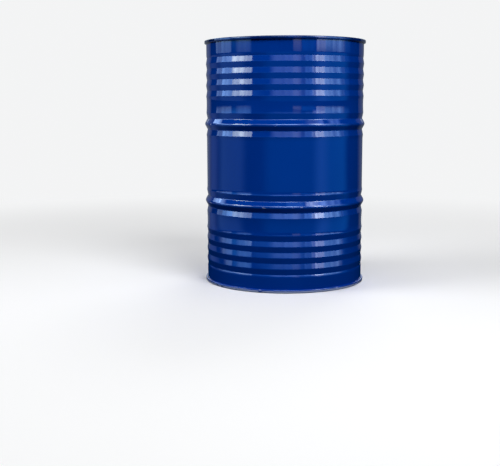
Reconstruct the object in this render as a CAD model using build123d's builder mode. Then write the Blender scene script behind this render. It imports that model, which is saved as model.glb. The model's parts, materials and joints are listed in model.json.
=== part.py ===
from build123d import *
import os
from collections import namedtuple
from math import acos, atan2, copysign, cos, degrees, hypot, pi, radians, sin, tan

# A 216.5 litre tight-head steel drum, in millimetres. +Z is up, and the origin is the middle of its base.
# The shell is one rolled and welded sheet. Each head is a pressed disc, joined to the shell by a rolled seam,
# the chime. Two threaded flanges are crimped into the top head, and a screwed plug closes each.

# Drum
drum_height = 878.0
shell_bore = 571.5
shell_sheet = 1.0
head_sheet = 1.0

# Rolling hoops, each with a neck and a low shoulder on both sides, measured from the hoop's crest. A shoulder fades
# out sooner on the side towards the drum's waist
hoop_spacing = 280.0
hoop_rise = 6.2
hoop_bend = 11.0
neck_reach = 20.5
neck_depth = 2.5
neck_bend = 6.0
shoulder_reach = 40.0
shoulder_rise = 1.2
shoulder_bend = 8.0
shoulder_fade = 30.0
waist_fade = 15.0

# Stiffening beads, as many as there is room for between each hoop and the plain wall beside the seam
bead_pitch = 38.8
bead_depth = 3.0
bead_bend = 9.0
bead_to_hoop = 99.0
bead_fade = 12.0
end_land = 30.0

# Weld along the shell, at the back
weld_width = 6.0
weld_proud = 0.25
weld_stop = 34.0

# Rolled seam of seven layers, the sheets being hooked into each other with sealing compound between
chime_height = 12.0
film_gap = 0.3
film_clearance = 0.05
turn_gap = 0.15
core_gap = 0.3
crest_bend = 3.0
under_bend = 2.4
tail_bend = 1.1
hook_end_gap = 0.8
tail_length = 5.7

# Heads
head_recess = 19.0
head_corner = 8.0
disc_rise = 3.0
disc_ramp = 8.0
disc_margin = 9.0
press_bend = 6.0
ring_radii = (95.0, 160.0, 225.0)
ring_half_width = 11.0
ring_rise = 4.0

# Bungs
bung_margin = 7.5
boss_rise = 3.0
boss_ramp = 4.0
boss_bend = 2.5
collar_height = 4.0
collar_bend = 1.6
fit = 0.1
lip_wall = 1.2
lip_turn = 2.0
lip_rounding = 0.9
base_thickness = 3.5
base_clearance = 1.5
skirt_depth = 5.0
base_rounding = 0.8
seal_thickness = 1.5
plug_seal_thickness = 1.8
plug_seal_inset = 1.9
seal_rounding = 0.4
rim_thickness = 2.5
rim_inset = 0.6
rim_rounding = 0.8
plug_wall = 2.6
plug_floor = 2.5
recess_rounding = 1.5
lug_count = 4

# Pipe threads of Whitworth form
flank_angle = 27.5
thread_turns = 5
thread_allowance = 0.2
flank_gap = 0.2
thread_run_in = 2.0
ridge_root = 0.4

# major, minor and pitch are of the pipe thread. angle places the bung round the head.
Bung = namedtuple("Bung", "name angle major minor pitch neck_wall base_ledge lug_width lug_height lug_length")
bungs = [
    Bung("large", 0, 59.614, 56.656, 2.309, 3.5, 5.5, 8.0, 8.0, 5.0),
    Bung("small", 180, 26.441, 24.117, 1.814, 2.8, 5.0, 3.5, 5.0, 2.5),
]

# Worked out from the above
inner_radius = shell_bore / 2
outer_radius = inner_radius + shell_sheet
half_height = drum_height / 2
hoop_height = hoop_spacing / 2
bead_start = hoop_height + bead_to_hoop
bead_count = int((half_height - end_land - bead_fade - bead_start) / bead_pitch + 0.5)
layer_step = (shell_sheet + head_sheet) / 2 + film_gap
core_step = (shell_sheet + head_sheet) / 2 + core_gap

# Radii of the middle lines of the seam's layers, from the drum's inside outwards
chuck_radius = inner_radius - film_gap - head_sheet / 2
wall_radius = inner_radius + shell_sheet / 2
head_up_radius = outer_radius + turn_gap + head_sheet / 2
shell_up_radius = head_up_radius + layer_step
head_tail_radius = shell_up_radius + core_step
shell_down_radius = head_tail_radius + core_step
head_down_radius = shell_down_radius + layer_step

# Depths of the middle lines where the layers cross over, from the seam's crest
head_over = head_sheet / 2
shell_over = head_over + layer_step
tail_over = shell_over + (shell_sheet + head_sheet) / 2 + turn_gap
head_under = chime_height - head_sheet / 2
shell_under = head_under - layer_step
shell_end = tail_over + head_sheet / 2 + hook_end_gap
tail_end = tail_over + tail_length

panel_depth = head_recess + head_sheet / 2
panel_top = drum_height - head_recess
boss_top = panel_top + boss_rise
weld_arc = degrees(weld_width / outer_radius)


def at_end(end, radius, depth):
    """A point of the drum's section, at a depth in from its top end (1) or its bottom end (-1)."""
    return (radius, half_height * (1 + end) - end * depth)


def bend_path(points, bends):
    """The line of a bent sheet: straight runs joined by bends of the given radii."""
    FilletPolyline(*points, radius=bends)


def swell_path(stations):
    """The line of a swelled wall: upright at each station, bent there, and with a straight flank between."""
    for (low, low_rise, low_bend), (high, high_rise, high_bend) in zip(stations, stations[1:]):
        start = Vector(wall_radius + low_rise, half_height + low)
        finish = Vector(wall_radius + high_rise, half_height + high)
        if low_rise == high_rise:
            Line(start, finish)
        else:
            run, swell, bends = high - low, abs(high_rise - low_rise), low_bend + high_bend
            slope = atan2(run, bends - swell) - acos(bends / hypot(run, bends - swell))
            side = copysign(1, high_rise - low_rise)
            turned = Vector(side * (1 - cos(slope)), sin(slope))
            TangentArc(start, start + turned * low_bend, tangent=(0, 1))
            Line(start + turned * low_bend, finish - turned * high_bend)
            TangentArc(finish - turned * high_bend, finish, tangent=(side * sin(slope), cos(slope)))


def fade_bend(run, rise, bend):
    """The bend that eases a wall from upright into a crest or valley, nearly all the way to the latter's bend."""
    slope = 2 * rise / run
    return (run - bend * slope) / slope


def shell_stations(last):
    """Height from mid-height, rise from the plain wall and bend, over the whole shell, out to a last height."""
    shoulder_ease = fade_bend(shoulder_fade, shoulder_rise, shoulder_bend)
    waist_ease = fade_bend(waist_fade, shoulder_rise, shoulder_bend)
    bead_ease = fade_bend(bead_fade, bead_depth / 2, bead_bend)
    side = [(neck_reach, -neck_depth, neck_bend), (shoulder_reach, shoulder_rise, shoulder_bend)]
    inner = side + [(shoulder_reach + waist_fade, 0, waist_ease)]
    outer = side + [(shoulder_reach + shoulder_fade, 0, shoulder_ease)]
    hoop = [(hoop_height - reach, rise, bend) for reach, rise, bend in reversed(inner)]
    hoop += [(hoop_height, hoop_rise, hoop_bend)]
    hoop += [(hoop_height + reach, rise, bend) for reach, rise, bend in outer]
    beads = [(bead_start - bead_pitch / 2, 0, fade_bend(bead_pitch / 2, bead_depth / 2, bead_bend))]
    for number in range(bead_count):
        beads += [(bead_start + number * bead_pitch, bead_depth / 2, bead_bend)]
        beads += [(bead_start + (number + 0.5) * bead_pitch, -bead_depth / 2, bead_bend)]
    beads += [(beads[-1][0] + bead_fade, 0, bead_ease)]
    upper = hoop + beads + [(last, 0, 0)]
    return [(-height, rise, bend) for height, rise, bend in reversed(upper)] + upper


def shell_hook(end):
    """The shell's part of a seam, from its wall to the end of its hook."""
    points = [(wall_radius, shell_over + chime_height), (wall_radius, shell_over)]
    points += [(shell_down_radius, shell_over), (shell_down_radius, shell_under)]
    points += [(shell_up_radius, shell_under), (shell_up_radius, shell_end)]
    over, under = crest_bend - layer_step, under_bend - layer_step
    bend_path([at_end(end, *point) for point in points], [over, over, under, under])


def head_hook():
    """The head's part of a seam, as radius and depth, with the bends at its corners."""
    points = [(chuck_radius, head_over), (head_down_radius, head_over), (head_down_radius, head_under)]
    points += [(head_up_radius, head_under), (head_up_radius, tail_over), (head_tail_radius, tail_over)]
    points += [(head_tail_radius, tail_end)]
    return points, [crest_bend, crest_bend, under_bend, under_bend, tail_bend, tail_bend]


def head_ring(end, panel, panel_bends):
    """A pressed head: a panel from the axis outwards, its upright wall, and its part of the seam."""
    hook, hook_bends = head_hook()
    points = [(-head_corner, panel[0][1])] + panel + [(chuck_radius, panel_depth)] + hook
    with BuildPart() as ring:
        with BuildSketch(Plane.XZ):
            with BuildLine():
                bend_path([at_end(end, *point) for point in points], panel_bends + [head_corner] + hook_bends)
                offset(amount=head_sheet / 2, side=Side.BOTH)
            make_face()
            Rectangle(drum_height, 3 * drum_height, align=(Align.MIN, Align.CENTER), mode=Mode.INTERSECT)
        revolve(axis=Axis.Z)
    return ring


def compound_ring(end):
    """The sealing compound, which lies between the two sheets all the way round the seam."""
    half = layer_step / 2
    points = [(chuck_radius + half, chime_height), (chuck_radius + half, head_over + half)]
    points += [(head_down_radius - half, head_over + half), (head_down_radius - half, head_under - half)]
    points += [(head_up_radius + half, head_under - half), (head_up_radius + half, shell_end)]
    over, under = crest_bend - half, under_bend - half
    with BuildPart() as ring:
        with BuildSketch(Plane.XZ):
            with BuildLine():
                bend_path([at_end(end, *point) for point in points], [over, over, under, under])
                offset(amount=film_gap / 2 - film_clearance, side=Side.BOTH)
            make_face()
        revolve(axis=Axis.Z)
    return ring


# ---- Sizes of each bung, from its thread ----
def neck_radius(bung):
    """Outside of the flange's neck."""
    return bung.major / 2 + bung.neck_wall


def collar_radius(bung):
    """Outside of the collar that the head turns up round the flange's neck."""
    return neck_radius(bung) + fit + head_sheet


def lip_radius(bung):
    """Outside of the flange's lip, which is rolled over the collar."""
    return collar_radius(bung) + fit + lip_wall


def base_flat(bung):
    """From the axis to a flat of the flange's eight-sided base."""
    return neck_radius(bung) + bung.base_ledge


def boss_radius(bung):
    """Edge of the level top of the boss, which the base's corners stay inside."""
    return base_flat(bung) / cos(pi / 8) + base_clearance


def boss_foot(bung):
    """Outer edge of the boss, where it meets the head's panel."""
    return boss_radius(bung) + boss_ramp


def core_radius(bung):
    """Outside of the plug between its threads."""
    return bung.minor / 2 - thread_allowance


def recess_radius(bung):
    """Inside of the plug's cup."""
    return core_radius(bung) - plug_wall


def bung_origin(bung):
    """A bung's place at the height of the drum's base, as near the head's wall as its boss allows."""
    distance = chuck_radius - head_corner - bung_margin - boss_foot(bung)
    return Vector(distance, 0, 0).rotate(Axis.Z, bung.angle)


def bung_section(bung):
    """The upright plane through a bung's axis."""
    return Plane(origin=bung_origin(bung), x_dir=(1, 0, 0), z_dir=(0, -1, 0))


def bung_level(bung, height):
    """The level plane at a height, centred on a bung's axis."""
    return Plane(origin=bung_origin(bung) + Vector(0, 0, height))


def plug_bottom(bung):
    """The plug's lower face, which stands half a pitch above the flange's, so that the threads mesh."""
    return skirt_bottom + bung.pitch / 2


# Heights of the closures, from the boss upwards and downwards
collar_top = boss_top + collar_height
lip_top = collar_top + fit + lip_wall
rim_bottom = lip_top + plug_seal_thickness + 2 * fit
rim_top = rim_bottom + rim_thickness
base_top = boss_top - head_sheet - seal_thickness
base_bottom = base_top - base_thickness
skirt_bottom = base_bottom - skirt_depth


def thread_ridge(bung, height, root, crest):
    """A helical ridge that starts at a height, and stands from a root radius out or in to a crest radius."""
    pitch_radius = (bung.major + bung.minor) / 4
    outward = 1 if crest > root else -1
    sunk = root - outward * ridge_root

    def half_width(radius):
        rise = outward * (pitch_radius - radius) * tan(radians(flank_angle))
        return bung.pitch / 4 + rise - flank_gap / 2

    with BuildPart() as ridge:
        with BuildLine() as path:
            start = bung_origin(bung) + Vector(0, 0, height)
            Helix(bung.pitch, thread_turns * bung.pitch, root, center=start)
        with BuildSketch(Plane(origin=path.line @ 0, x_dir=(1, 0, 0), z_dir=path.line % 0)):
            with BuildLine():
                inner = (sunk - root, half_width(root))
                outer = (crest - root, half_width(crest))
                Polyline((inner[0], -inner[1]), (outer[0], -outer[1]), outer, inner, close=True)
            make_face()
        sweep(is_frenet=True)
    return ridge


def seal_ring(bung, bottom, thickness, inner, outer):
    """A flat rubber ring with rounded edges."""
    with BuildPart() as ring:
        with BuildSketch(bung_level(bung, bottom)):
            Circle(outer)
            Circle(inner, mode=Mode.SUBTRACT)
        extrude(amount=thickness)
        fillet(ring.edges().filter_by(GeomType.CIRCLE), seal_rounding)
    return ring


def flange(bung):
    """A threaded flange: an eight-sided base, and a neck whose lip is rolled over the head's collar."""
    with BuildPart() as body:
        with BuildSketch(bung_level(bung, base_bottom)):
            RegularPolygon(base_flat(bung), 8, major_radius=False, rotation=22.5)
        extrude(amount=base_thickness)
        fillet(body.edges().filter_by(Plane.XY), base_rounding)
        with BuildSketch(bung_level(bung, skirt_bottom)):
            Circle(neck_radius(bung))
        extrude(amount=lip_top - skirt_bottom)
        with BuildSketch(bung_level(bung, collar_top + fit - lip_turn)):
            Circle(lip_radius(bung))
            Circle(collar_radius(bung) + fit, mode=Mode.SUBTRACT)
        extrude(amount=lip_turn)
        with BuildSketch(bung_level(bung, collar_top + fit)):
            Circle(lip_radius(bung))
        extrude(amount=lip_wall)
        fillet(body.edges().group_by(Axis.Z)[-1], lip_rounding)
        with BuildSketch(bung_level(bung, skirt_bottom)):
            Circle(bung.major / 2)
        extrude(amount=lip_top - skirt_bottom, mode=Mode.SUBTRACT)
        ridge = thread_ridge(bung, skirt_bottom + thread_run_in, bung.major / 2, bung.minor / 2)
        add(ridge.part, clean=False)
    return body


def plug(bung):
    """A pressed plug: a threaded cup with a rim, and lugs in its recess for the wrench."""
    bottom = plug_bottom(bung)
    with BuildPart() as body:
        with BuildSketch(bung_level(bung, bottom)):
            Circle(core_radius(bung))
        extrude(amount=rim_top - bottom)
        with BuildSketch(bung_level(bung, rim_bottom)):
            Circle(lip_radius(bung) - rim_inset)
        extrude(amount=rim_thickness)
        fillet(body.edges().filter_by(GeomType.CIRCLE).group_by(Axis.Z)[-1], rim_rounding)
        with BuildSketch(bung_level(bung, bottom + plug_floor)):
            Circle(recess_radius(bung))
        extrude(amount=rim_top - bottom - plug_floor, mode=Mode.SUBTRACT)
        mouth = body.edges().filter_by(GeomType.CIRCLE).group_by(Axis.Z)[-1].sort_by(SortBy.RADIUS)[0]
        fillet(mouth, recess_rounding)
        with BuildSketch(bung_level(bung, bottom + plug_floor)):
            with PolarLocations(recess_radius(bung) - bung.lug_length / 2 + plug_wall / 4, lug_count):
                Rectangle(bung.lug_length + plug_wall / 2, bung.lug_width)
        extrude(amount=bung.lug_height)
        crest = bung.major / 2 - thread_allowance
        ridge = thread_ridge(bung, bottom + thread_run_in, core_radius(bung), crest)
        add(ridge.part, clean=False)
    return body


# ---- The pieces ----
os.makedirs("parts", exist_ok=True)

# The sheet goes round from one edge of the weld to the other, and the thicker weld closes it at the back.
with BuildPart() as body_shell:
    for turn, arc, proud in ((weld_arc / 2, 360 - weld_arc, 0), (-weld_arc / 2, weld_arc, weld_proud)):
        with BuildSketch(Plane.XZ.rotated((0, 0, 90 + turn))):
            with BuildLine():
                swell_path(shell_stations(half_height - shell_over - chime_height))
                shell_hook(1)
                shell_hook(-1)
                offset(amount=shell_sheet / 2, side=Side.BOTH)
            make_face()
            if proud:
                with BuildLine():
                    swell_path(shell_stations(half_height - weld_stop))
                    offset(amount=shell_sheet / 2 + proud, side=Side.BOTH)
                make_face()
        revolve(axis=Axis.Z, revolution_arc=arc)
body_shell.part.label = "body_shell"
export_step(body_shell.part, "parts/body_shell.step")

# The top head's middle is raised inside the bungs' bosses.
large = bungs[0]
disc_edge = bung_origin(large).length - boss_foot(large) - disc_margin
disc_depth = panel_depth - disc_rise
disc = [(disc_edge - disc_ramp, disc_depth), (disc_edge, panel_depth)]
disc_head = head_ring(1, disc, [press_bend, press_bend])
with BuildPart() as top_head:
    add(disc_head.part)
    for bung in bungs:
        with BuildSketch(bung_level(bung, panel_top - head_recess)):
            Circle(boss_foot(bung))
        extrude(amount=2 * head_recess, mode=Mode.SUBTRACT)
    for bung in bungs:
        collar_middle = collar_radius(bung) - head_sheet / 2
        boss_middle = boss_top - head_sheet / 2
        with BuildSketch(bung_section(bung)):
            with BuildLine():
                line = [(boss_foot(bung) + boss_ramp, panel_top - head_sheet / 2)]
                line += [(boss_foot(bung) - boss_bend, panel_top - head_sheet / 2)]
                line += [(boss_radius(bung) - boss_bend, boss_middle), (collar_middle, boss_middle)]
                line += [(collar_middle, collar_top)]
                bend_path(line, [boss_bend, boss_bend, collar_bend])
                offset(amount=head_sheet / 2, side=Side.BOTH)
            make_face()
            with Locations((0, collar_top)):
                Rectangle(boss_foot(bung), 2 * head_recess, align=(Align.MIN, Align.MAX), mode=Mode.INTERSECT)
        revolve(axis=Axis(bung_origin(bung), (0, 0, 1)))
top_head.part.label = "top_head"
export_step(top_head.part, "parts/top_head.step")

# The bottom head is stiffened by rings pressed outwards.
rings = []
for ring_radius in ring_radii:
    rings += [(ring_radius - ring_half_width, panel_depth), (ring_radius, panel_depth - ring_rise)]
    rings += [(ring_radius + ring_half_width, panel_depth)]
bottom_head = head_ring(-1, rings, [press_bend] * len(rings))
bottom_head.part.label = "bottom_head"
export_step(bottom_head.part, "parts/bottom_head.step")

for end, place in ((1, "top"), (-1, "bottom")):
    compound = compound_ring(end)
    compound.part.label = f"{place}_seam_compound"
    export_step(compound.part, f"parts/{place}_seam_compound.step")

for bung in bungs:
    bung_flange = flange(bung)
    bung_flange.part.label = f"{bung.name}_flange"
    export_step(bung_flange.part, f"parts/{bung.name}_flange.step")

    flange_gasket = seal_ring(bung, base_top, seal_thickness, neck_radius(bung) + fit, base_flat(bung))
    flange_gasket.part.label = f"{bung.name}_flange_gasket"
    export_step(flange_gasket.part, f"parts/{bung.name}_flange_gasket.step")

    bung_plug = plug(bung)
    bung_plug.part.label = f"{bung.name}_plug"
    export_step(bung_plug.part, f"parts/{bung.name}_plug.step")

    seal_inner = bung.major / 2 + 2 * thread_allowance
    plug_gasket = seal_ring(
        bung, lip_top + fit, plug_seal_thickness, seal_inner, lip_radius(bung) - plug_seal_inset
    )
    plug_gasket.part.label = f"{bung.name}_plug_gasket"
    export_step(plug_gasket.part, f"parts/{bung.name}_plug_gasket.step")
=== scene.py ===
"""Looks of a painted tight-head steel oil drum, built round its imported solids. Everything is in metres."""

import json
import logging
import math
from dataclasses import dataclass, field
from enum import Enum
from typing import Any, Callable, Optional, Union

import bmesh
import bpy
from mathutils import Matrix, Vector, noise


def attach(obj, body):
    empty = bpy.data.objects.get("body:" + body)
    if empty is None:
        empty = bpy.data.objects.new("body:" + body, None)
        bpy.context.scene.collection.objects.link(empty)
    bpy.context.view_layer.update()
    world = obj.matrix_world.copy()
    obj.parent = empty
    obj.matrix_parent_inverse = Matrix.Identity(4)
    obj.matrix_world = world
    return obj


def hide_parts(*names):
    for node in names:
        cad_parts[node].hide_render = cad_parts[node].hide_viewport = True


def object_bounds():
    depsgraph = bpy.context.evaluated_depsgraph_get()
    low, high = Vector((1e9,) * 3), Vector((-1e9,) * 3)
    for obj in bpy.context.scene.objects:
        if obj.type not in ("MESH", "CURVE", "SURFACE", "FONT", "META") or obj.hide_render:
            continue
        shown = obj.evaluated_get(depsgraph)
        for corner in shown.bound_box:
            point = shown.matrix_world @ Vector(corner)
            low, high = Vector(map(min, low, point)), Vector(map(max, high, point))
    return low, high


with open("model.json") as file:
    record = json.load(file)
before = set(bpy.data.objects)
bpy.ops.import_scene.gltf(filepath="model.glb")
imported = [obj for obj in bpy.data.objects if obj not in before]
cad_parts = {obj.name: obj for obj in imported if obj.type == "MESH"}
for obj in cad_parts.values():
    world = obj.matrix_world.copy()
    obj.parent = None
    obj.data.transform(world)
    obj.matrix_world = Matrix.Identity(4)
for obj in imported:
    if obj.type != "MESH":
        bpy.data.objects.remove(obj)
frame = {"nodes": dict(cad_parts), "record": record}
solid_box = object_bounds()

MM = 0.001
TOUCH = 0.001 * MM
STRAIGHT = 1e-9
FULL_TURN = 2 * math.pi
ZENITH = 90.0
Point = tuple[float, float]
Step = tuple[float, float]  # where a smooth step starts, and where it ends
Triple = tuple[float, float, float]
Colour = tuple[float, float, float, float]
Number = Union[float, "Signal"]
log = logging.getLogger("drum")


class Body(Enum):
    """The bodies that pieces ride on."""

    DRUM = "drum"


class Slot(Enum):
    """The record's material slots."""

    ENAMEL = "drum_enamel"
    ZINC = "zinc_plate"
    RUBBER = "seal_rubber"
    COMPOUND = "seam_compound"


# ---- Shader maths ----
class Signal:
    """A number that varies over a surface, held in a socket, with its sums and products as plain Python."""

    def __init__(self, bench: "Bench", socket: bpy.types.NodeSocket) -> None:
        """Wraps a socket of a bench's node tree."""
        self.bench = bench
        self.socket = socket

    def _math(self, operation: str, *values: Number) -> "Signal":
        """Adds one Math node that works on the given values."""
        return self.bench.number("ShaderNodeMath", {"operation": operation}, dict(enumerate(values)))

    def __add__(self, other: Number) -> "Signal":
        """The sum of two numbers."""
        return self._math("ADD", self, other)

    def __rsub__(self, other: Number) -> "Signal":
        """Another number less this one."""
        return self._math("SUBTRACT", other, self)

    def __mul__(self, other: Number) -> "Signal":
        """The product of two numbers."""
        return self._math("MULTIPLY", self, other)

    __radd__ = __add__
    __rmul__ = __mul__

    def size(self) -> "Signal":
        """The number without its sign."""
        return self._math("ABSOLUTE", self)

    def wave(self) -> "Signal":
        """The sine of the number."""
        return self._math("SINE", self)

    def power(self, exponent: float) -> "Signal":
        """The number raised to an exponent."""
        return self._math("POWER", self, exponent)

    def angle_from(self, other: "Signal") -> "Signal":
        """The angle whose tangent is this number over another, in radians."""
        return self._math("ARCTAN2", self, other)

    def above(self, low: float, high: float) -> "Signal":
        """A smooth step from 0 at low to 1 at high."""
        values = {"Value": self, "From Min": low, "From Max": high}
        return self.bench.number("ShaderNodeMapRange", {"interpolation_type": "SMOOTHSTEP"}, values)

    def within(self, low: float, high: float, edge: float) -> "Signal":
        """A smooth band, 1 between low and high, which fades over an edge on both sides."""
        return self.above(low - edge, low + edge) * (1 - self.above(high - edge, high + edge))


@dataclass(frozen=True)
class Spot:
    """A place or a direction in three parts, seen from the drum's axis."""

    across: Signal
    back: Signal
    up: Signal

    def radius(self) -> Signal:
        """How far it is from the axis."""
        return (self.across * self.across + self.back * self.back).power(0.5)

    def azimuth(self) -> Signal:
        """Its bearing in degrees, from 0 in front of the drum to 90 at its right."""
        return self.across.angle_from(self.back * -1.0) * math.degrees(1)


@dataclass(frozen=True)
class Grain:
    """A pattern of noise.

    The scale is how many features there are to a metre, the detail is how many finer layers are added, and
    the stretch is how much denser it is along each axis. Levels make it 0 below the first, and 1 above the
    second.
    """

    scale: float
    detail: float
    stretch: Triple = (1, 1, 1)
    levels: Optional[Step] = None


class Bench:
    """Makes the nodes of one node tree."""

    def __init__(self, tree: bpy.types.NodeTree) -> None:
        """Empties a tree and takes it over."""
        self.tree = tree
        tree.nodes.clear()

    def node(self, kind: str, settings: Optional[dict[str, Any]] = None,
             values: Optional[dict[Any, Any]] = None) -> bpy.types.Node:
        """Makes any node.

        Args:
            kind: the node's type.
            settings: what is set on the node itself, before its sockets are filled.
            values: a value, signal or socket for each named or numbered input.

        Returns:
            The node.
        """
        made = self.tree.nodes.new(kind)
        for name, value in (settings or {}).items():
            if name == "stops":
                self.fill_ramp(made.color_ramp, value)
            else:
                setattr(made, name, value)
        for name, value in (values or {}).items():
            target = made.inputs[name]
            source = value.socket if isinstance(value, Signal) else value
            if isinstance(source, bpy.types.NodeSocket):
                self.tree.links.new(source, target)
            else:
                target.default_value = source
        return made

    @staticmethod
    def fill_ramp(ramp: bpy.types.ColorRamp, stops: list[tuple[float, Any]]) -> None:
        """Gives a ramp its stops.

        Args:
            ramp: a new ramp, which has two stops.
            stops: two or more stops, each a place from 0 to 1 and a colour.
        """
        for place, _ in stops[2:]:
            ramp.elements.new(place)
        for element, (place, colour) in zip(ramp.elements, stops):
            element.position = place
            element.color = colour

    def number(self, kind: str, settings: dict[str, Any], values: dict[Any, Any], output: Any = 0) -> Signal:
        """Makes a node and returns one of its outputs as a signal."""
        return Signal(self, self.node(kind, settings, values).outputs[output])

    def place(self, scale: Triple = (1, 1, 1)) -> bpy.types.NodeSocket:
        """The place on the object, stretched by a scale along each axis."""
        source = self.node("ShaderNodeTexCoord").outputs["Object"]
        return self.node("ShaderNodeMapping", {}, {"Vector": source, "Scale": scale}).outputs[0]

    def spot(self, vector: bpy.types.NodeSocket) -> Spot:
        """The parts of a vector."""
        parts = self.node("ShaderNodeSeparateXYZ", {}, {0: vector}).outputs
        return Spot(*(Signal(self, part) for part in parts))

    def grain(self, pattern: Grain) -> Signal:
        """A pattern's noise over the object.

        Args:
            pattern: the pattern.

        Returns:
            The noise, between 0 and 1.
        """
        values = {"Vector": self.place(pattern.stretch), "Scale": pattern.scale, "Detail": pattern.detail}
        value = self.number("ShaderNodeTexNoise", {}, values, "Fac")
        return value.above(*pattern.levels) if pattern.levels else value

    def blend(self, amount: Number, low: Any, high: Any) -> bpy.types.NodeSocket:
        """A colour between two colours."""
        return self.node("ShaderNodeMix", {"data_type": "RGBA"}, {0: amount, 6: low, 7: high}).outputs[2]

    def vector(self, operation: str, values: dict[Any, Any]) -> bpy.types.NodeSocket:
        """Makes a node that works on vectors, and returns its vector."""
        return self.node("ShaderNodeVectorMath", {"operation": operation}, values).outputs[0]

    def added(self, light: Any, tint: Triple, amount: Signal) -> bpy.types.NodeSocket:
        """A light with an amount of a tint added to it."""
        return self.vector("ADD", {0: light, 1: self.vector("SCALE", {0: tint, "Scale": amount})})

    def emission(self, colour: Any, strength: Number = 1.0) -> bpy.types.NodeSocket:
        """A shader that gives off a colour."""
        return self.node("ShaderNodeEmission", {}, {"Color": colour, "Strength": strength}).outputs[0]

    def mixed(self, share: Any, low: Any, high: Any) -> bpy.types.NodeSocket:
        """A shader between two shaders."""
        return self.node("ShaderNodeMixShader", {}, {0: share, 1: low, 2: high}).outputs[0]

    def bumps(self, *layers: tuple[Signal, float]) -> bpy.types.NodeSocket:
        """A normal bent by layers of height.

        Args:
            layers: one or more heights from 0 to 1, each with its depth in metres.

        Returns:
            The normal.
        """
        normal = None
        for height, depth in layers:
            values = {"Height": height, "Distance": depth}
            if normal:
                values["Normal"] = normal
            normal = self.node("ShaderNodeBump", {}, values).outputs[0]
        return normal


def surface_tree(name: str) -> tuple[bpy.types.Material, Bench]:
    """Starts a material.

    Args:
        name: the material's name.

    Returns:
        The material, and the bench for its nodes.
    """
    material = bpy.data.materials.new(name)
    material.use_nodes = True
    return material, Bench(material.node_tree)


class Finish:
    """What the drum's finishes share: each has a name, and says what its shader takes."""

    name: str

    def inputs(self, bench: Bench) -> dict[str, Any]:
        """What the shader's sockets take."""
        raise NotImplementedError

    def material(self) -> bpy.types.Material:
        """The finish as a material.

        Returns:
            The material.
        """
        material, bench = surface_tree(self.name)
        shader = bench.node("ShaderNodeBsdfPrincipled", {}, self.inputs(bench))
        bench.node("ShaderNodeOutputMaterial", {}, {"Surface": shader.outputs[0]})
        return material


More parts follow.
